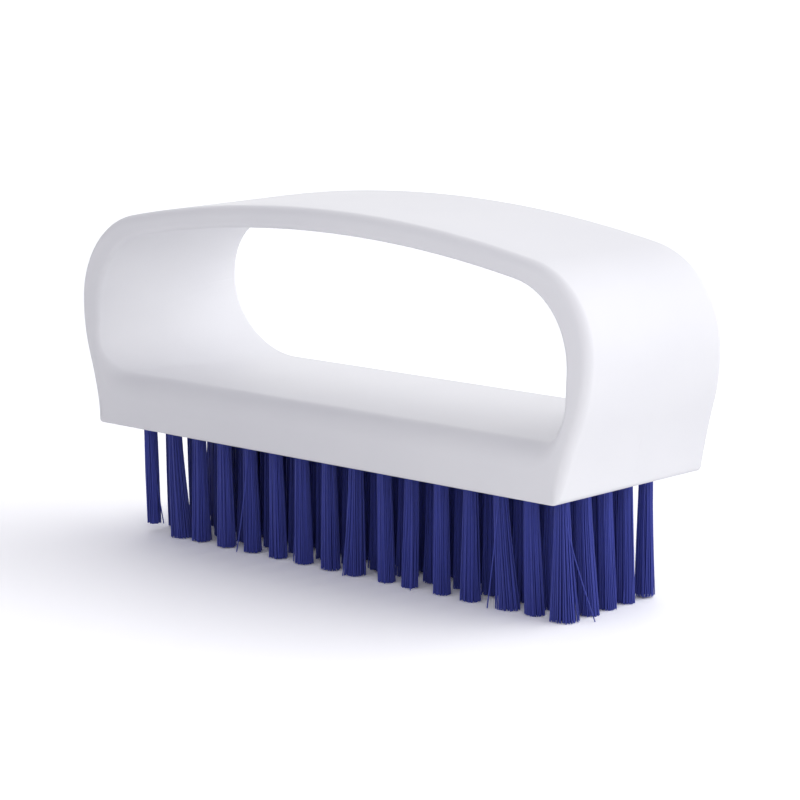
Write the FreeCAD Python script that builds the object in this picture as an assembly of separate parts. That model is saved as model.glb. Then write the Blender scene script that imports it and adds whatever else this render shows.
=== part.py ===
import FreeCAD, Part
import math
import os

# Nail brush: a loop handle moulded in one piece with its tuft block, and nylon tufts that metal
# anchors hold in blind holes in the block.
# Millimetres. X runs along the brush, Y across it and Z up. The origin lies on the surface that the
# bristle tips stand on, below the middle of the block.

# Handle
block_length = 99.7         # underside of the block, along X
block_width = 33.2          # underside of the block, along Y
block_thickness = 8.3       # from the underside to the floor of the finger gap
side_lean = 3.3             # degrees that the front and the back lean in towards the top
side_wall = 4.4             # thickness of the loop at its widest part
crown_wall = 3.5            # thickness of the loop along its top
bulge_reach = 5.1           # how far the loop stands out past each end of the block
bulge_rise = 20.65          # from the underside to the widest part of the loop
bulge_radius = 26.7         # side of the loop, below its widest part
flank_radius = 77.0         # hollow curve from the end of the block into the bulge
corner_radius = 14.0        # upper corner of the loop, outside
crown_rise = 3.9            # from the top of the corners to the top of the loop
gap_top_radius = 11.8       # upper corners of the finger gap
gap_side_straight = 1.4     # upright part of each side of the gap, between its two corners
rim_edge_break = 0.9        # bevel round the front and the back of the loop
underside_edge_break = 0.4  # bevel round the underside of the block
gap_front_edge_break = 1.2  # bevel of the finger gap, front edges
gap_back_edge_break = 0.4   # bevel of the finger gap, back edges

# Tufts and their holes
column_pitch = 6.0
row_pitch = 4.75
end_margin = 4.5            # least distance from a hole's axis to the end of the block
side_margin = 7.0           # least distance from a hole's axis to the side of the block
hole_diameter = 2.4
hole_floor = 2.0            # plastic left between a hole and the finger gap
tuft_trim = 18.8            # free length of the bristles
tuft_tip_diameter = 3.0     # the bundle spreads towards its cut end
tuft_clearance = 0.05       # between a tuft and the wall and floor of its hole
tuft_sides = 10             # flats round a tuft and its hole

# Anchors, flat wire that each bundle is folded round
anchor_height = 1.6
anchor_thickness = 0.4
anchor_bite = 0.3           # how far each end cuts into the wall of the hole
anchor_clearance = 0.03     # all round an anchor
fold_height = 1.0           # filaments between an anchor and the floor of the hole

# Heights and places that follow from these sizes
underside = tuft_trim
gap_floor = underside + block_thickness
bulge_level = underside + bulge_rise
crown_top = bulge_level + corner_radius + crown_rise
bulge_x = block_length / 2 + bulge_reach
loop_corner_x = bulge_x - corner_radius
gap_side = bulge_x - side_wall
hole_end = gap_floor - hole_floor
fold_top = hole_end - tuft_clearance
anchor_top = fold_top - fold_height
anchor_bottom = anchor_top - anchor_height
anchor_length = hole_diameter + 2 * anchor_bite
root_diameter = hole_diameter - 2 * tuft_clearance
tuft_spread = (tuft_tip_diameter - root_diameter) / tuft_trim
fold_diameter = root_diameter - tuft_spread * (fold_top - underside)
facing_share = 0.9          # cosine above which a face counts as looking a given way
column_count = int((block_length - 2 * end_margin) // column_pitch) + 1
row_count = int((block_width - 2 * side_margin) // row_pitch) + 1


def point(x, z):
    """A point of an outline, which lies in the plane through the middle of the brush."""
    return FreeCAD.Vector(x, 0, z)


def mirrored(p):
    return point(-p.x, p.z)


def towards(start, end, distance):
    """The point at that distance from start, on the line from start through end."""
    return start + (end - start).normalize() * distance


def arc(start, centre, radius, end):
    """The shorter arc between two points of the circle about the centre."""
    middle = towards(centre, (start + end) * 0.5, radius)
    return Part.Arc(start, middle, end).toShape()


def line(start, end):
    return Part.LineSegment(start, end).toShape()


def flank_centre(foot, bulge_centre):
    """Centre of the hollow arc that starts at the foot and runs smoothly into the bulge."""
    reach = bulge_radius + flank_radius
    span = foot.distanceToPoint(bulge_centre)
    along = (reach ** 2 - flank_radius ** 2 + span ** 2) / (2 * span)
    aside = math.sqrt(reach ** 2 - along ** 2)
    u = (foot - bulge_centre).normalize()
    return bulge_centre + u * along + point(-u.z, u.x) * aside


def crown_centre():
    """Centre of the top arc, which runs smoothly into both upper corners."""
    rise = corner_radius + crown_rise
    radius = (loop_corner_x ** 2 + rise ** 2 - corner_radius ** 2) / (2 * crown_rise)
    return point(0, crown_top - radius), radius


def outer_outline():
    """The handle seen from the front, without the finger gap."""
    foot = point(block_length / 2, underside)
    bulge = point(bulge_x, bulge_level)
    bulge_centre = point(bulge_x - bulge_radius, bulge_level)
    hollow_centre = flank_centre(foot, bulge_centre)
    bulge_start = towards(bulge_centre, hollow_centre, bulge_radius)
    corner_centre = point(loop_corner_x, bulge_level)
    top_centre, top_radius = crown_centre()
    corner_end = towards(top_centre, corner_centre, top_radius)
    edges = [line(mirrored(foot), foot)]
    edges.append(arc(foot, hollow_centre, flank_radius, bulge_start))
    edges.append(arc(bulge_start, bulge_centre, bulge_radius, bulge))
    edges.append(arc(bulge, corner_centre, corner_radius, corner_end))
    edges.append(arc(corner_end, top_centre, top_radius, mirrored(corner_end)))
    edges.append(arc(mirrored(corner_end), mirrored(corner_centre), corner_radius, mirrored(bulge)))
    edges.append(arc(mirrored(bulge), mirrored(bulge_centre), bulge_radius, mirrored(bulge_start)))
    edges.append(arc(mirrored(bulge_start), mirrored(hollow_centre), flank_radius, mirrored(foot)))
    return Part.Wire(edges)


def gap_outline():
    """The finger gap: a flat floor, upright sides and a top that follows the crown."""
    top_centre, top_radius = crown_centre()
    inner_radius = top_radius - crown_wall
    corner_x = gap_side - gap_top_radius
    corner_rise = math.sqrt((inner_radius - gap_top_radius) ** 2 - corner_x ** 2)
    corner_centre = point(corner_x, top_centre.z + corner_rise)
    corner_end = towards(top_centre, corner_centre, inner_radius)
    side_end = point(gap_side, corner_centre.z)
    side_start = point(gap_side, corner_centre.z - gap_side_straight)
    low_radius = side_start.z - gap_floor
    low_centre = point(gap_side - low_radius, side_start.z)
    floor_end = point(low_centre.x, gap_floor)
    edges = [line(mirrored(floor_end), floor_end)]
    edges.append(arc(floor_end, low_centre, low_radius, side_start))
    edges.append(line(side_start, side_end))
    edges.append(arc(side_end, corner_centre, gap_top_radius, corner_end))
    edges.append(arc(corner_end, top_centre, inner_radius, mirrored(corner_end)))
    edges.append(arc(mirrored(corner_end), mirrored(corner_centre), gap_top_radius, mirrored(side_end)))
    edges.append(line(mirrored(side_end), mirrored(side_start)))
    edges.append(arc(mirrored(side_start), mirrored(low_centre), low_radius, mirrored(floor_end)))
    return Part.Wire(edges)


def across(wire, width):
    """A plate of that width whose outline is the wire, half on each side of the middle plane."""
    plate = Part.Face(wire).extrude(FreeCAD.Vector(0, width, 0))
    return plate.translated(FreeCAD.Vector(0, -width / 2, 0))


def flat_face(corners):
    return Part.Face(Part.makePolygon(corners + corners[:1]))


def leaning_prism():
    """The space between the leaning front and back of the handle, as long as the loop."""
    low = block_width / 2
    high = low - (crown_top - underside) * math.tan(math.radians(side_lean))
    start = -bulge_x
    corners = [
        FreeCAD.Vector(start, -low, underside),
        FreeCAD.Vector(start, low, underside),
        FreeCAD.Vector(start, high, crown_top),
        FreeCAD.Vector(start, -high, crown_top),
    ]
    return flat_face(corners).extrude(FreeCAD.Vector(2 * bulge_x, 0, 0))


def faces_towards(shape, direction):
    """Flat faces whose outward side looks mostly that way."""
    flat = [f for f in shape.Faces if isinstance(f.Surface, Part.Plane)]
    return [f for f in flat if f.normalAt(0, 0).dot(direction) > facing_share]


def mouth_edges(shape, direction):
    """Edges of the finger gap in the side of the handle that looks that way."""
    found = []
    for face in faces_towards(shape, direction):
        found += [e for w in face.Wires if not w.isSame(face.OuterWire) for e in w.Edges]
    return found


def shell_of_handle():
    """The moulding with its finger gap and broken edges, before the holes."""
    down = FreeCAD.Vector(0, 0, -1)
    front = FreeCAD.Vector(0, -1, 0)
    back = front.negative()
    body = across(outer_outline(), block_width).common(leaning_prism())
    below = [e for f in faces_towards(body, down) for e in f.Edges]
    sides = faces_towards(body, front) + faces_towards(body, back)
    rim = [e for f in sides for e in f.Edges if not any(e.isSame(b) for b in below)]
    body = body.makeChamfer(rim_edge_break, rim)
    below = [e for f in faces_towards(body, down) for e in f.Edges]
    body = body.makeChamfer(underside_edge_break, below)
    body = body.cut(across(gap_outline(), block_width))
    body = body.makeChamfer(gap_front_edge_break, mouth_edges(body, front))
    return body.makeChamfer(gap_back_edge_break, mouth_edges(body, back))


def cross_strip(length, thickness, bottom, top):
    """A flat strip on edge along X, centred on the axis of a hole."""
    corner = FreeCAD.Vector(-length / 2, -thickness / 2, bottom)
    return Part.makeBox(length, thickness, top - bottom, corner)


def anchor():
    return cross_strip(anchor_length, anchor_thickness, anchor_bottom, anchor_top)


def anchor_space():
    """The room that an anchor takes up, with its clearance all round."""
    gap = anchor_clearance
    length = anchor_length + 2 * gap
    return cross_strip(length, anchor_thickness + 2 * gap, anchor_bottom - gap, anchor_top + gap)


def ring(diameter, height):
    """The corners of one many-sided section of a tuft or a hole."""
    turn = 2 * math.pi / tuft_sides
    radius = diameter / 2
    return [FreeCAD.Vector(radius * math.cos(i * turn), radius * math.sin(i * turn), height)
            for i in range(tuft_sides)]


def faceted_bar(low_diameter, low, high_diameter, high):
    """A straight or tapered bar of flat faces along Z."""
    bottom = ring(low_diameter, low)
    top = ring(high_diameter, high)
    faces = [flat_face(bottom), flat_face(top)]
    for i in range(tuft_sides):
        faces.append(flat_face([bottom[i - 1], bottom[i], top[i], top[i - 1]]))
    return Part.Solid(Part.Shell(faces))


def tuft():
    """A folded bundle that spreads from its fold to its cut end, open round its anchor."""
    return faceted_bar(tuft_tip_diameter, 0, fold_diameter, fold_top).cut(anchor_space())


def tuft_hole():
    """A blind hole with the two cuts that the ends of its anchor make in the wall."""
    return faceted_bar(hole_diameter, underside, hole_diameter, hole_end).fuse(anchor_space())


def column_places(column):
    """The axes of the tufts of one column, from the front row to the back row."""
    x = (column - (column_count - 1) / 2) * column_pitch
    return [FreeCAD.Vector(x, (row - (row_count - 1) / 2) * row_pitch, 0) for row in range(row_count)]


def column_of(shape, column):
    return [shape.translated(place) for place in column_places(column)]


def handle():
    holes = []
    for column in range(column_count):
        holes += column_of(tuft_hole(), column)
    return shell_of_handle().cut(Part.makeCompound(holes))


def save(name, shape):
    shape.exportStep("parts/" + name + ".step")


os.makedirs("parts", exist_ok=True)
save("handle", handle())
one_tuft = tuft()
one_anchor = anchor()
for column in range(column_count):
    number = "%02d" % (column + 1)
    save("tuft_column_" + number, Part.makeCompound(column_of(one_tuft, column)))
    save("anchor_column_" + number, Part.makeCompound(column_of(one_anchor, column)))
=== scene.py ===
import math
import random

import bpy
from mathutils import Matrix, Vector


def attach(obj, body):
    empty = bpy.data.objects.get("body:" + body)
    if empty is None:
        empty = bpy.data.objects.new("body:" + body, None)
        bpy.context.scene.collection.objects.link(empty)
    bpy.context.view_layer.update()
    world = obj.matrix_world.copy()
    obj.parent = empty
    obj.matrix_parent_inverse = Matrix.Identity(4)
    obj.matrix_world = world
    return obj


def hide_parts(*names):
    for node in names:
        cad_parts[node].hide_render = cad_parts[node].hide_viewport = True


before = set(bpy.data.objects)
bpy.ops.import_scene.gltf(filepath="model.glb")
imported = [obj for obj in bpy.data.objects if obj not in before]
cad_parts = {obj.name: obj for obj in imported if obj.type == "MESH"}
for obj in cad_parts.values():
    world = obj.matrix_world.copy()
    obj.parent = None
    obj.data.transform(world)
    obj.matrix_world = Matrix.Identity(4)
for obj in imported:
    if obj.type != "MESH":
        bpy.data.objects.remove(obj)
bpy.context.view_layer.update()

# A nail brush: a white moulded loop handle over a block, and blue nylon tufts folded round metal
# anchors in the block's holes. Sizes are in millimetres and become metres in the meshes.
MM = 0.001

# The handle
BLOCK_LENGTH = 99.7
BLOCK_WIDTH = 33.2
BLOCK_THICKNESS = 8.3
SIDE_LEAN = math.radians(3.3)       # front and back lean in towards the top
CROWN_WALL = 3.5
BULGE_REACH = 5.1
BULGE_RISE = 20.65
BULGE_RADIUS = 26.7
FLANK_RADIUS = 77.0
CORNER_RADIUS = 14.0
CROWN_RISE = 3.9
GAP_FRONT = 4.4, 12.5, 6.4, 6.4     # side wall, upper corner radius, lower corner reach and rise
GAP_BACK = 4.9, 11.0, 14.2, 12.1    # the same where the gap opens at the back
FOOT_RADIUS = 1.1                   # lower end of each end face
UNDERSIDE_EDGE = 0.4                # rounding of the edges round the underside
RIM_EDGE = 1.5                      # of the loop's outer edges
FLOOR_FRONT_EDGE = 3.6              # between the floor of the finger gap and the front
FLOOR_BACK_EDGE = 1.0               # between the floor and the back
GAP_EDGE = 0.9                      # of the loop's inner edges
RIM_EDGE_PACE = 2.5                 # how soon, on the way up a side, the front edge reaches RIM_EDGE
GAP_EDGE_PACE = 2                   # and the gap's front edge reaches GAP_EDGE
TOE_EDGE_SHARE = 0.85               # most rounding in the toe, as a share of its radius
PARTING_DEPTH = 0.05                # mould parting line on the end faces
PARTING_WIDTH = 0.3
STATIONS = 26, 6, 10, 10, 22, 30    # in each half: underside, toe, flank, bulge, corner and crown
HANDLE_CREASE = math.radians(35)    # edges with a wider angle stay sharp

# The holes and their tufts
COLUMNS = 16
ROWS = 5
COLUMN_PITCH = 6.0
ROW_PITCH = 4.75
HOLE_DIAMETER = 2.4
HOLE_FLOOR = 2.0
HOLE_SIDES = 28
CUT_OVERRUN = 1
TRIM = 18.8                         # length of the bristles below the block
LEAN_SPREAD = 0.15                  # of the tufts' tips
OUTER_FLARE = 1.35, 1.55            # how far tufts in the front and back rows widen
INNER_FLARE = 1.55, 1.75            # and those between
CUT_SPREAD = 0.1                    # of the tufts' lower ends

# Tufts set one by one, by column and row: lean of the tip in X and Y, flare, and height of the lower end
POSED_TUFTS = {
    (0, 0): ((0.3, 0), 1.1, 1.3), (0, 1): ((0.5, 0.1), 1.35, 0), (0, 2): ((0.5, 0.1), 1.35, 0),
    (0, 3): ((-0.9, 0.1), 1.5, 0), (0, 4): ((0.5, 0.1), 1.35, 0),
    (1, 0): ((1.3, 0), 1.8, 0), (1, 1): ((0.3, 0), 1.5, 0),
    (8, 0): ((-0.7, 0), 1.6, 0), (9, 0): ((0.2, 0), 1.25, 0), (10, 0): ((-0.8, 0), 1.25, 0),
    (11, 0): ((0, 0), 1.2, 0), (12, 0): ((-0.2, 0), 1.5, 0), (13, 0): ((1.4, 0), 1.75, 0),
    (14, 0): ((0.6, 0), 1.5, 0), (15, 0): ((0.3, 0), 2.1, 0), (15, 1): ((0.6, 0.5), 1.55, 0),
    (15, 2): ((0.3, 0.2), 1.35, 0), (15, 3): ((0, 0.1), 1.3, 0), (15, 4): ((-0.2, -0.1), 1.4, 0.2),
}
# Single filaments that stand clear of these tufts: the place of the tip from the tuft's axis
STRAYS = {
    (0, 0): (2.2, 0.4), (4, 0): (-1.6, -1.9), (10, 0): (1.3, -2.1), (13, 0): (-1.2, -1.8),
    (15, 0): (4.0, 2.6),
}

# The filaments
SEED = 7
FILAMENT_RADIUS = 0.1
FILAMENT_SIDES = 5
FILAMENT_STEP = 0.215               # between the filaments of a bundle
ROW_SHARE = 0.866                   # between their rows, as a share of that step
FILAMENT_CREASE = math.radians(65)
ROOT_RADIUS = 1.02                  # of the bundle where it leaves its hole
LEG_STEPS = 4
LEG_BEND = 1.35                     # power by which a leg bends out towards its tip
TIP_SPREAD = 0.07
TIP_RISE = 0.2                      # how far single tips end above the tuft's lower end
BOW_SPREAD = 0.06
LOOSE_CHANCE = 0.006                # of a filament that leaves its tuft
LOOSE_REACH = 0.5, 1.4
ANCHOR_TOP = 23.95
ANCHOR_HALF = 0.33                  # from the middle of an anchor to the filaments beside it
FOLD_STRAIGHT = 1.9                 # straight run beside the anchor
FOLD_ANGLES = 40, 90, 140           # places on the bend over the anchor
FOLD_SQUEEZE = 0.75                 # of the bundle across the anchor
FOLD_NARROWING = 0.9                # and along it
FOLD_RISE = 0.8                     # height of the bend as a share of its half width

UNDERSIDE = TRIM
GAP_FLOOR = UNDERSIDE + BLOCK_THICKNESS
BULGE_LEVEL = UNDERSIDE + BULGE_RISE
CROWN_TOP = BULGE_LEVEL + CORNER_RADIUS + CROWN_RISE
BULGE_X = BLOCK_LENGTH / 2 + BULGE_REACH
CORNER_X = BULGE_X - CORNER_RADIUS
HOLE_END = GAP_FLOOR - HOLE_FLOOR
UP = math.pi / 2
TURN = 2 * math.pi


# Outlines

def flat(x, z):
    """A point of an outline, in the plane through the middle of the brush."""
    return Vector((x, z))


def ease(t):
    return t * t * (3 - 2 * t)


def mix(a, b, t):
    return a + (b - a) * t


def half_width(z):
    """From the middle plane to the leaning front, at that height."""
    return BLOCK_WIDTH / 2 - (z - UNDERSIDE) * math.tan(SIDE_LEAN)


def angle_of(vector):
    return math.atan2(vector.y, vector.x)


def along_oval(centre, reach, rise, start, end, steps):
    """Points and outward directions on part of an oval between two angles, both ends included."""
    found = []
    for i in range(steps + 1):
        a = mix(start, end, i / steps)
        at = flat(reach * math.cos(a), rise * math.sin(a))
        out = flat(rise * math.cos(a), reach * math.sin(a)).normalized()
        found.append((centre + at, out))
    return found


def along_arc(centre, radius, start, end, steps):
    return along_oval(centre, radius, radius, start, end, steps)


def along_floor(end_x, z, steps):
    """The same along a level line from the middle of the brush, with the way down as outward."""
    return [(flat(end_x * i / steps, z), flat(0, -1)) for i in range(steps + 1)]


def crown_circle():
    """Centre and radius of the crown's arc, which runs smoothly into the upper corners."""
    height = CORNER_RADIUS + CROWN_RISE
    radius = (CORNER_X ** 2 + height ** 2 - CORNER_RADIUS ** 2) / (2 * CROWN_RISE)
    return flat(0, CROWN_TOP - radius), radius


def flank_centres():
    """Centres of the hollow flank, of the bulge above it and of the foot's rounding below it."""
    foot = flat(BLOCK_LENGTH / 2, UNDERSIDE)
    bulge = flat(BULGE_X - BULGE_RADIUS, BULGE_LEVEL)
    reach = BULGE_RADIUS + FLANK_RADIUS
    span = (foot - bulge).length
    along = (reach ** 2 - FLANK_RADIUS ** 2 + span ** 2) / (2 * span)
    u = (foot - bulge) / span
    hollow = bulge + u * along + flat(-u.y, u.x) * math.sqrt(reach ** 2 - along ** 2)
    rise = UNDERSIDE + FOOT_RADIUS
    across = math.sqrt((FLANK_RADIUS + FOOT_RADIUS) ** 2 - (rise - hollow.y) ** 2)
    return hollow, bulge, flat(hollow.x - across, rise)


def outer_half():
    """Points and outward directions from the middle of the underside round to the top of the loop."""
    bottom_steps, toe_steps, flank_steps, bulge_steps, corner_steps, crown_steps = STATIONS
    hollow, bulge, toe = flank_centres()
    crown, crown_radius = crown_circle()
    corner = flat(CORNER_X, BULGE_LEVEL)
    hollow_start = angle_of(toe - hollow) % TURN
    hollow_end = angle_of(bulge - hollow) % TURN
    corner_end = angle_of(corner - crown)
    found = along_floor(toe.x, UNDERSIDE, bottom_steps)
    found += along_arc(toe, FOOT_RADIUS, -UP, angle_of(hollow - toe), toe_steps)[1:]
    flank = along_arc(hollow, FLANK_RADIUS, hollow_start, hollow_end, flank_steps)[1:]
    found += [(p, -way) for p, way in flank]
    found += along_arc(bulge, BULGE_RADIUS, angle_of(hollow - bulge), 0, bulge_steps)[1:]
    found += along_arc(corner, CORNER_RADIUS, 0, corner_end, corner_steps)[1:]
    return found + along_arc(crown, crown_radius, corner_end, UP, crown_steps)[1:]


def gap_half(shape):
    """The same for the finger gap, with as many points, from the middle of its floor."""
    bottom_steps, toe_steps, flank_steps, side_steps, corner_steps, crown_steps = STATIONS
    side_wall, top_radius, low_reach, low_rise = shape
    crown, crown_radius = crown_circle()
    side = BULGE_X - side_wall
    inner_radius = crown_radius - CROWN_WALL
    corner_x = side - top_radius
    corner_rise = math.sqrt((inner_radius - top_radius) ** 2 - corner_x ** 2)
    corner = flat(corner_x, crown.y + corner_rise)
    corner_end = angle_of(corner - crown)
    low = flat(side - low_reach, GAP_FLOOR + low_rise)
    found = along_floor(low.x, GAP_FLOOR, bottom_steps)
    found += along_oval(low, low_reach, low_rise, -UP, 0, toe_steps + flank_steps)[1:]
    for i in range(1, side_steps + 1):
        found.append((flat(side, mix(low.y, corner.y, i / side_steps)), flat(1, 0)))
    found += along_arc(corner, top_radius, 0, corner_end, corner_steps)[1:]
    return found + along_arc(crown, inner_radius, corner_end, UP, crown_steps)[1:]


# Sections of the handle

def side_points(outer, gap, edge, gap_edge):
    """The front of one section, from the outer surface over both rounded edges to the gap's surface."""
    edge_steps, gap_steps, face_steps = 7, 8, 3
    p, p_out = outer
    q, q_out = gap
    found = []
    for i in range(edge_steps + 1):
        a = UP * i / edge_steps
        at = p - p_out * edge * (1 - math.cos(a))
        found.append(Vector((at.x, edge * (1 - math.sin(a)) - half_width(at.y), at.y)))
    start, end = p - p_out * edge, q + q_out * gap_edge
    for i in range(1, face_steps):
        at = start.lerp(end, i / face_steps)
        found.append(Vector((at.x, -half_width(at.y), at.y)))
    for i in range(gap_steps + 1):
        a = UP * i / gap_steps
        at = q + q_out * gap_edge * (1 - math.sin(a))
        found.append(Vector((at.x, gap_edge * (1 - math.cos(a)) - half_width(at.y), at.y)))
    return found


def outside_points(outer, back_y, front_y, depth):
    """The outer surface of one section from the back edge to the front edge, with the parting line."""
    steps, half = 5, PARTING_WIDTH / 2
    p, p_out = outer
    places = [(mix(back_y, half, i / steps), 0) for i in range(1, steps)]
    places += [(half, 0), (0, depth), (-half, 0)]
    places += [(mix(-half, front_y, i / steps), 0) for i in range(1, steps)]
    return [Vector((p.x - p_out.x * d, y, p.y - p_out.y * d)) for y, d in places]


def half_sections():
    """Closed sections of the right half of the handle, from the middle of the block to the crown."""
    rise_start, rise_steps, floor_steps = STATIONS[0], sum(STATIONS[1:4]), 5
    toe = STATIONS[1] / rise_steps
    found = []
    rows = zip(outer_half(), gap_half(GAP_FRONT), gap_half(GAP_BACK))
    for i, (outer, gap_front, gap_back) in enumerate(rows):
        rise = min(max((i - rise_start) / rise_steps, 0), 1)
        flank = max(rise - toe, 0) / (1 - toe)
        front_edge = mix(UNDERSIDE_EDGE, RIM_EDGE, ease(min(rise * RIM_EDGE_PACE, 1)))
        if rise <= toe:
            front_edge = min(front_edge, FOOT_RADIUS * TOE_EDGE_SHARE)
        back_edge = mix(UNDERSIDE_EDGE, RIM_EDGE, ease(flank))
        front_lip = mix(FLOOR_FRONT_EDGE, GAP_EDGE, ease(min(rise * GAP_EDGE_PACE, 1)))
        back_lip = mix(FLOOR_BACK_EDGE, GAP_EDGE, ease(rise))
        front = side_points(outer, gap_front, front_edge, front_lip)
        back = side_points(outer, gap_back, back_edge, back_lip)
        back = [Vector((c.x, -c.y, c.z)) for c in reversed(back)]
        floor = [front[-1].lerp(back[0], k / floor_steps) for k in range(1, floor_steps)]
        depth = PARTING_DEPTH * math.sin(math.pi * rise) ** 2
        found.append(front + floor + back + outside_points(outer, back[-1].y, front[0].y, depth))
    return found


def new_piece(name, points, faces):
    mesh = bpy.data.meshes.new(name)
    mesh.from_pydata([c * MM for c in points], [], faces)
    mesh.validate()
    piece = bpy.data.objects.new(name, mesh)
    bpy.context.scene.collection.objects.link(piece)
    return piece


def tuft_places():
    """The axis of every tuft, by column and row."""
    for column in range(COLUMNS):
        for row in range(ROWS):
            x = (column - (COLUMNS - 1) / 2) * COLUMN_PITCH
            y = (row - (ROWS - 1) / 2) * ROW_PITCH
            yield column, row, x, y


def hole_cutter():
    """One prism per hole, turned by half a side so that no corner lies on the parting line."""
    radius = HOLE_DIAMETER / 2
    points, faces = [], []
    for column, row, x, y in tuft_places():
        base = len(points)
        for z in (UNDERSIDE - CUT_OVERRUN, HOLE_END):
            for i in range(HOLE_SIDES):
                a = TURN * (i + 0.5) / HOLE_SIDES
                points.append(Vector((x + radius * math.cos(a), y + radius * math.sin(a), z)))
        low = list(range(base, base + HOLE_SIDES))
        high = [i + HOLE_SIDES for i in low]
        faces.append(low[::-1])
        faces.append(high)
        for i in range(HOLE_SIDES):
            faces.append([low[i - 1], low[i], high[i], high[i - 1]])
    return new_piece("hole_cutter", points, faces)


def make_handle(material):
    rings = half_sections()
    rings += [[Vector((-c.x, c.y, c.z)) for c in ring] for ring in rings[-2:0:-1]]
    count = len(rings[0])
    points = [c for ring in rings for c in ring]
    faces = []
    for i in range(len(rings)):
        j = (i + 1) % len(rings)
        for k in range(count):
            n = (k + 1) % count
            faces.append([i * count + k, i * count + n, j * count + n, j * count + k])
    handle = new_piece("handle_shell", points, faces)
    cutter = hole_cutter()
    bore = handle.modifiers.new("holes", "BOOLEAN")
    bore.operation = "DIFFERENCE"
    bore.solver = "EXACT"
    bore.object = cutter
    bpy.context.view_layer.update()
    bored = bpy.data.meshes.new_from_object(
        handle.evaluated_get(bpy.context.evaluated_depsgraph_get()))
    handle.modifiers.clear()
    handle.data = bored
    bpy.data.objects.remove(cutter)
    for polygon in bored.polygons:
        polygon.use_smooth = True
    bored.set_sharp_from_angle(angle=HANDLE_CREASE)
    weights = handle.modifiers.new("even_shading", "WEIGHTED_NORMAL")
    weights.keep_sharp = True
    bored.materials.clear()
    bored.materials.append(material)
    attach(handle, "root")
    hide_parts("handle")


# Bristles

def bundle_places():
    """Where the folded filaments of one bundle leave the hole: one leg of each pair, on the +Y side."""
    found = []
    rows = int(ROOT_RADIUS / (FILAMENT_STEP * ROW_SHARE)) + 1
    for j in range(rows):
        y = (j + 0.5) * FILAMENT_STEP * ROW_SHARE
        reach = math.sqrt(max(ROOT_RADIUS ** 2 - y ** 2, 0))
        if reach == 0:
            continue
        count = int(2 * reach / FILAMENT_STEP) + 1
        for i in range(count):
            found.append(((i - (count - 1) / 2) * FILAMENT_STEP, y))
    return found


class Tubes:
    """Thin round filaments gathered into one mesh, each with its own tone."""

    def __init__(self):
        self.points, self.faces, self.tones = [], [], []

    def add(self, path, tone):
        """A tube along a path that starts upward and ends downward, with flat level ends."""
        base = len(self.points)
        last = len(path) - 1
        for k, at in enumerate(path):
            if k == 0:
                side, other = Vector((1, 0, 0)), Vector((0, 1, 0))
            elif k == last:
                side, other = Vector((1, 0, 0)), Vector((0, -1, 0))
            else:
                way = (path[k + 1] - path[k - 1]).normalized()
                side = (Vector((1, 0, 0)) - way * way.x).normalized()
                other = way.cross(side)
            for i in range(FILAMENT_SIDES):
                a = TURN * i / FILAMENT_SIDES
                out = side * math.cos(a) + other * math.sin(a)
                self.points.append(at + out * FILAMENT_RADIUS)
                self.tones.append(tone)
        for k in range(last):
            a, b = base + k * FILAMENT_SIDES, base + (k + 1) * FILAMENT_SIDES
            for i in range(FILAMENT_SIDES):
                j = (i + 1) % FILAMENT_SIDES
                self.faces.append([a + i, a + j, b + j, b + i])
        self.faces.append([base + i for i in reversed(range(FILAMENT_SIDES))])
        end = base + last * FILAMENT_SIDES
        self.faces.append([end + i for i in range(FILAMENT_SIDES)])


def leg(rng, x, y, root, habit, stray=None):
    """One leg of a folded filament, from its cut tip up to the mouth of the hole."""
    lean, flare, cut = habit
    tip_z = cut + rng.random() ** 2 * TIP_RISE
    tip_x = lean[0] + root[0] * flare + rng.gauss(0, TIP_SPREAD)
    tip_y = lean[1] + root[1] * flare + rng.gauss(0, TIP_SPREAD)
    tip = Vector((tip_x, tip_y))
    bow = Vector((rng.gauss(0, BOW_SPREAD), rng.gauss(0, BOW_SPREAD)))
    if rng.random() < LOOSE_CHANCE:
        way = rng.uniform(0, TURN)
        tip += Vector((math.cos(way), math.sin(way))) * rng.uniform(*LOOSE_REACH)
    if stray:
        tip = Vector(stray)
    path = []
    for i in range(LEG_STEPS + 1):
        t = 1 - i / LEG_STEPS
        drift = t ** LEG_BEND
        px = x + mix(root[0], tip.x, drift) + bow.x * math.sin(math.pi * t)
        py = y + mix(root[1], tip.y, drift) + bow.y * math.sin(math.pi * t)
        path.append(Vector((px, py, mix(tip_z, UNDERSIDE, i / LEG_STEPS))))
    return path


def fold(x, y, root):
    """The part of a filament in the hole, up past its anchor, over it, and down on the other side."""
    side = ANCHOR_HALF + (root[1] - FILAMENT_STEP * ROW_SHARE / 2) * FOLD_SQUEEZE
    at_x = x + root[0] * FOLD_NARROWING
    climb = [Vector((at_x, y + side, z)) for z in (ANCHOR_TOP - FOLD_STRAIGHT, ANCHOR_TOP)]
    bend = []
    for angle in FOLD_ANGLES:
        a = math.radians(angle)
        rise = side * FOLD_RISE * math.sin(a)
        bend.append(Vector((at_x, y + side * math.cos(a), ANCHOR_TOP + rise)))
    drop = [Vector((c.x, 2 * y - c.y, c.z)) for c in reversed(climb)]
    return climb + bend + drop


def habits(rng):
    """How each tuft stands: its lean at the tip, its flare and the height of its lower end."""
    found = {}
    for column, row, x, y in tuft_places():
        lean = (rng.gauss(0, LEAN_SPREAD), rng.gauss(0, LEAN_SPREAD))
        flare = rng.uniform(*(OUTER_FLARE if row in (0, ROWS - 1) else INNER_FLARE))
        found[column, row] = (lean, flare, rng.uniform(0, CUT_SPREAD))
    found.update(POSED_TUFTS)
    return found


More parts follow.
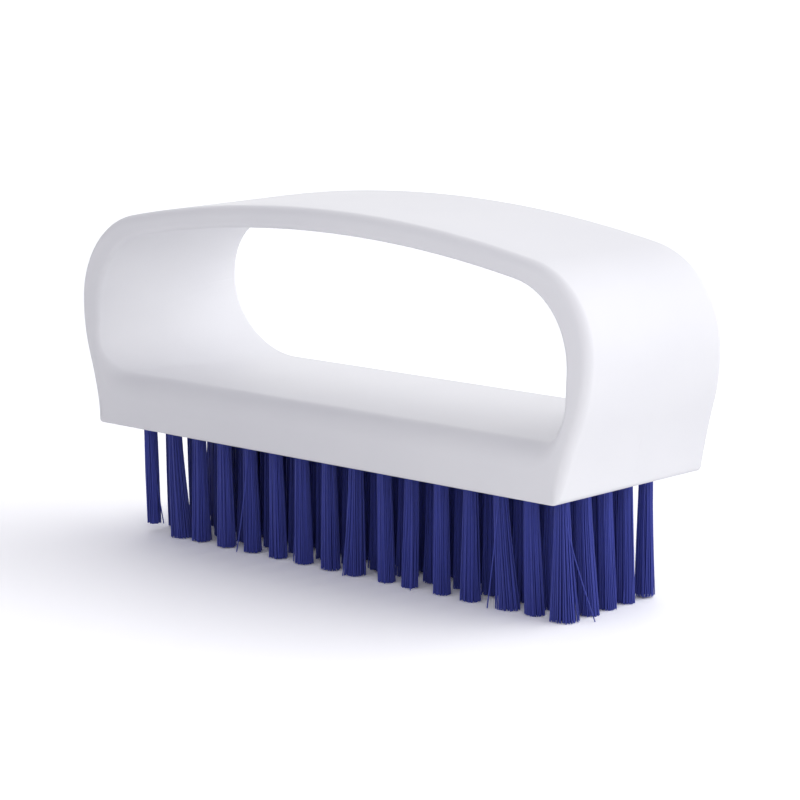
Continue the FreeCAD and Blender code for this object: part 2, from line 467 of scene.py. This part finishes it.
def make_bristles(material):
    """One piece per column. The last leg of a tuft with a stray filament is that filament."""
    rng = random.Random(SEED)
    stand = habits(rng)
    places = bundle_places()
    for number in range(COLUMNS):
        tubes = Tubes()
        for column, row, x, y in tuft_places():
            if column != number:
                continue
            habit = stand[column, row]
            for k, root in enumerate(places):
                stray = STRAYS.get((column, row)) if k == len(places) - 1 else None
                there = leg(rng, x, y, root, habit)
                back = leg(rng, x, y, (root[0], -root[1]), habit, stray)
                tubes.add(there + fold(x, y, root) + back[::-1], rng.random())
        label = "%02d" % (number + 1)
        piece = new_piece("bristles_" + label, tubes.points, tubes.faces)
        tone = piece.data.attributes.new("tone", "FLOAT", "POINT")
        tone.data.foreach_set("value", tubes.tones)
        for polygon in piece.data.polygons:
            polygon.use_smooth = True
        piece.data.set_sharp_from_angle(angle=FILAMENT_CREASE)
        piece.data.materials.append(material)
        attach(piece, "root")
        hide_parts("tuft_column_" + label)


# Materials

def new_material(name):
    material = bpy.data.materials.new(name)
    material.use_nodes = True
    nodes = material.node_tree.nodes
    return material, nodes, material.node_tree.links, nodes["Principled BSDF"]


def noise(nodes, links, scale, detail):
    """Noise in the object's own metres, so that scale is in waves per metre."""
    place = nodes.new("ShaderNodeTexCoord")
    texture = nodes.new("ShaderNodeTexNoise")
    texture.inputs["Scale"].default_value = scale
    texture.inputs["Detail"].default_value = detail
    links.new(place.outputs["Object"], texture.inputs["Vector"])
    return texture.outputs["Fac"]


def ramp(nodes, links, source, low, high, start=0.3, end=0.7):
    found = nodes.new("ShaderNodeValToRGB")
    found.color_ramp.elements[0].position = start
    found.color_ramp.elements[1].position = end
    found.color_ramp.elements[0].color = (*low, 1)
    found.color_ramp.elements[1].color = (*high, 1)
    links.new(source, found.inputs["Fac"])
    return found.outputs["Color"]


def bumped(nodes, links, shader, source, strength, distance):
    bump = nodes.new("ShaderNodeBump")
    bump.inputs["Strength"].default_value = strength
    bump.inputs["Distance"].default_value = distance
    links.new(source, bump.inputs["Height"])
    links.new(bump.outputs["Normal"], shader.inputs["Normal"])


def spread_value(nodes, links, source, low, high):
    found = nodes.new("ShaderNodeMapRange")
    found.inputs["To Min"].default_value = low
    found.inputs["To Max"].default_value = high
    links.new(source, found.inputs["Value"])
    return found.outputs["Result"]


def handle_material():
    """Satin white plastic, with faint clouds in tone and gloss and a fine moulded grain."""
    material, nodes, links, shader = new_material("moulded_white")
    broad = noise(nodes, links, scale=30, detail=3)
    fine = noise(nodes, links, scale=2600, detail=2)
    colour = ramp(nodes, links, broad, low=(0.79, 0.79, 0.81), high=(0.83, 0.83, 0.84))
    roughness = spread_value(nodes, links, broad, low=0.48, high=0.6)
    links.new(colour, shader.inputs["Base Color"])
    links.new(roughness, shader.inputs["Roughness"])
    shader.inputs["Specular IOR Level"].default_value = 0.35
    bumped(nodes, links, shader, fine, strength=0.06, distance=0.00003)
    return material


def bristle_material():
    """Blue nylon, with a tone of its own on each filament."""
    material, nodes, links, shader = new_material("blue_nylon")
    tone = nodes.new("ShaderNodeAttribute")
    tone.attribute_name = "tone"
    dark, light = (0.038, 0.051, 0.295), (0.045, 0.06, 0.345)
    colour = ramp(nodes, links, tone.outputs["Fac"], low=dark, high=light, start=0, end=1)
    streak = noise(nodes, links, scale=700, detail=2)
    roughness = spread_value(nodes, links, streak, low=0.5, high=0.66)
    links.new(colour, shader.inputs["Base Color"])
    links.new(roughness, shader.inputs["Roughness"])
    shader.inputs["Specular IOR Level"].default_value = 0.35
    return material


def anchor_material():
    """Drawn brass."""
    material, nodes, links, shader = new_material("anchor_brass")
    drawn = noise(nodes, links, scale=1500, detail=3)
    colour = ramp(nodes, links, drawn, low=(0.62, 0.44, 0.16), high=(0.75, 0.56, 0.24))
    roughness = spread_value(nodes, links, drawn, low=0.25, high=0.4)
    links.new(colour, shader.inputs["Base Color"])
    links.new(roughness, shader.inputs["Roughness"])
    shader.inputs["Metallic"].default_value = 1
    return material


# Stage

def seen_rays(nodes, links):
    """1 for rays that show the background: from the camera, off a gloss or through glass. Else 0."""
    path = nodes.new("ShaderNodeLightPath")
    found = path.outputs["Is Camera Ray"]
    for kind in ("Is Glossy Ray", "Is Transmission Ray"):
        larger = nodes.new("ShaderNodeMath")
        larger.operation = "MAXIMUM"
        links.new(found, larger.inputs[0])
        links.new(path.outputs[kind], larger.inputs[1])
        found = larger.outputs[0]
    return found


def make_floor():
    """A pale floor that looks white to the camera and keeps the shadow."""
    half, seen_lift = 3000, 0.3
    signs = (-1, -1), (1, -1), (1, 1), (-1, 1)
    floor = new_piece("floor", [Vector((sx * half, sy * half, 0)) for sx, sy in signs], [[0, 1, 2, 3]])
    material, nodes, links, shader = new_material("pale_floor")
    grain = noise(nodes, links, scale=4, detail=2)
    colour = ramp(nodes, links, grain, low=(0.93, 0.93, 0.93), high=(0.94, 0.94, 0.94))
    links.new(colour, shader.inputs["Base Color"])
    shader.inputs["Roughness"].default_value = 0.6
    shader.inputs["Specular IOR Level"].default_value = 0.1
    lift = nodes.new("ShaderNodeMath")
    lift.operation = "MULTIPLY"
    lift.inputs[1].default_value = seen_lift
    seen = nodes.new("ShaderNodeBsdfDiffuse")
    both = nodes.new("ShaderNodeAddShader")
    links.new(seen_rays(nodes, links), lift.inputs[0])
    links.new(lift.outputs[0], seen.inputs["Color"])
    links.new(shader.outputs["BSDF"], both.inputs[0])
    links.new(seen.outputs["BSDF"], both.inputs[1])
    links.new(both.outputs["Shader"], nodes["Material Output"].inputs["Surface"])
    floor.data.materials.append(material)


def make_world():
    """Soft light from all round, seen as plain white."""
    world = bpy.data.worlds.new("studio")
    world.use_nodes = True
    bpy.context.scene.world = world
    nodes, links = world.node_tree.nodes, world.node_tree.links
    light = nodes["Background"]
    light.inputs["Color"].default_value = (0.91, 0.90, 1.0, 1)
    light.inputs["Strength"].default_value = 0.52
    shown = nodes.new("ShaderNodeBackground")
    shown.inputs["Color"].default_value = (1, 1, 1, 1)
    shown.inputs["Strength"].default_value = 1
    chosen = nodes.new("ShaderNodeMixShader")
    links.new(seen_rays(nodes, links), chosen.inputs["Fac"])
    links.new(light.outputs["Background"], chosen.inputs[1])
    links.new(shown.outputs["Background"], chosen.inputs[2])
    links.new(chosen.outputs["Shader"], nodes["World Output"].inputs["Surface"])


def make_lamp(name, bearing, elevation, strength, spread, colour):
    """A wide soft lamp, seen from the brush at that bearing from +X and that height, in degrees."""
    around, above = math.radians(bearing), math.radians(elevation)
    level = math.cos(above)
    direction = Vector((math.cos(around) * level, math.sin(around) * level, math.sin(above)))
    data = bpy.data.lights.new(name, "SUN")
    data.energy = strength
    data.angle = math.radians(spread)
    data.color = colour
    lamp = bpy.data.objects.new(name, data)
    lamp.rotation_euler = direction.to_track_quat("Z", "Y").to_euler()
    lamp.location = direction
    bpy.context.scene.collection.objects.link(lamp)


def make_near_lamp():
    """A large soft bulb at the right front, near enough for the brush to darken towards its left end."""
    place, radius = Vector((150, -150, 120)), 60
    data = bpy.data.lights.new("near", "POINT")
    data.energy = 0.28
    data.shadow_soft_size = radius * MM
    data.color = (1, 0.99, 0.98)
    lamp = bpy.data.objects.new("near", data)
    lamp.location = place * MM
    lamp.visible_camera = False
    bpy.context.scene.collection.objects.link(lamp)


def make_camera():
    """The camera fitted to the photograph: focal length in pixels of a square image, distance in mm."""
    yaw, pitch, roll = math.radians(44.16), math.radians(10.36), math.radians(0.7)
    distance, focal, image_size, sensor = 459.9, 2950.4, 800, 36
    target = Vector((3.35, 0, 26.41))
    level = math.cos(pitch)
    ahead = Vector((-math.sin(yaw) * level, math.cos(yaw) * level, -math.sin(pitch)))
    across = Vector((math.cos(yaw), math.sin(yaw), 0))
    down = ahead.cross(across)
    right = across * math.cos(roll) + down * math.sin(roll)
    below = down * math.cos(roll) - across * math.sin(roll)
    data = bpy.data.cameras.new("camera")
    data.sensor_width = sensor
    data.lens = focal / image_size * sensor
    data.clip_start = 0.01
    camera = bpy.data.objects.new("camera", data)
    axes = Matrix((right, -below, -ahead)).transposed().to_4x4()
    camera.matrix_world = Matrix.Translation((target - ahead * distance) * MM) @ axes
    bpy.context.scene.collection.objects.link(camera)
    bpy.context.scene.camera = camera


make_handle(handle_material())
make_bristles(bristle_material())

brass = anchor_material()
for name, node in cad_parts.items():
    if name.startswith("anchor_column_"):
        node.material_slots[0].material = brass

make_floor()
make_world()
make_lamp("key", bearing=46, elevation=15, strength=2.42, spread=90, colour=(0.98, 0.99, 1))
make_lamp("overhead", bearing=120, elevation=35, strength=0.72, spread=90, colour=(1, 1, 0.95))
make_near_lamp()
make_camera()
bpy.context.scene.view_settings.view_transform = "Standard"
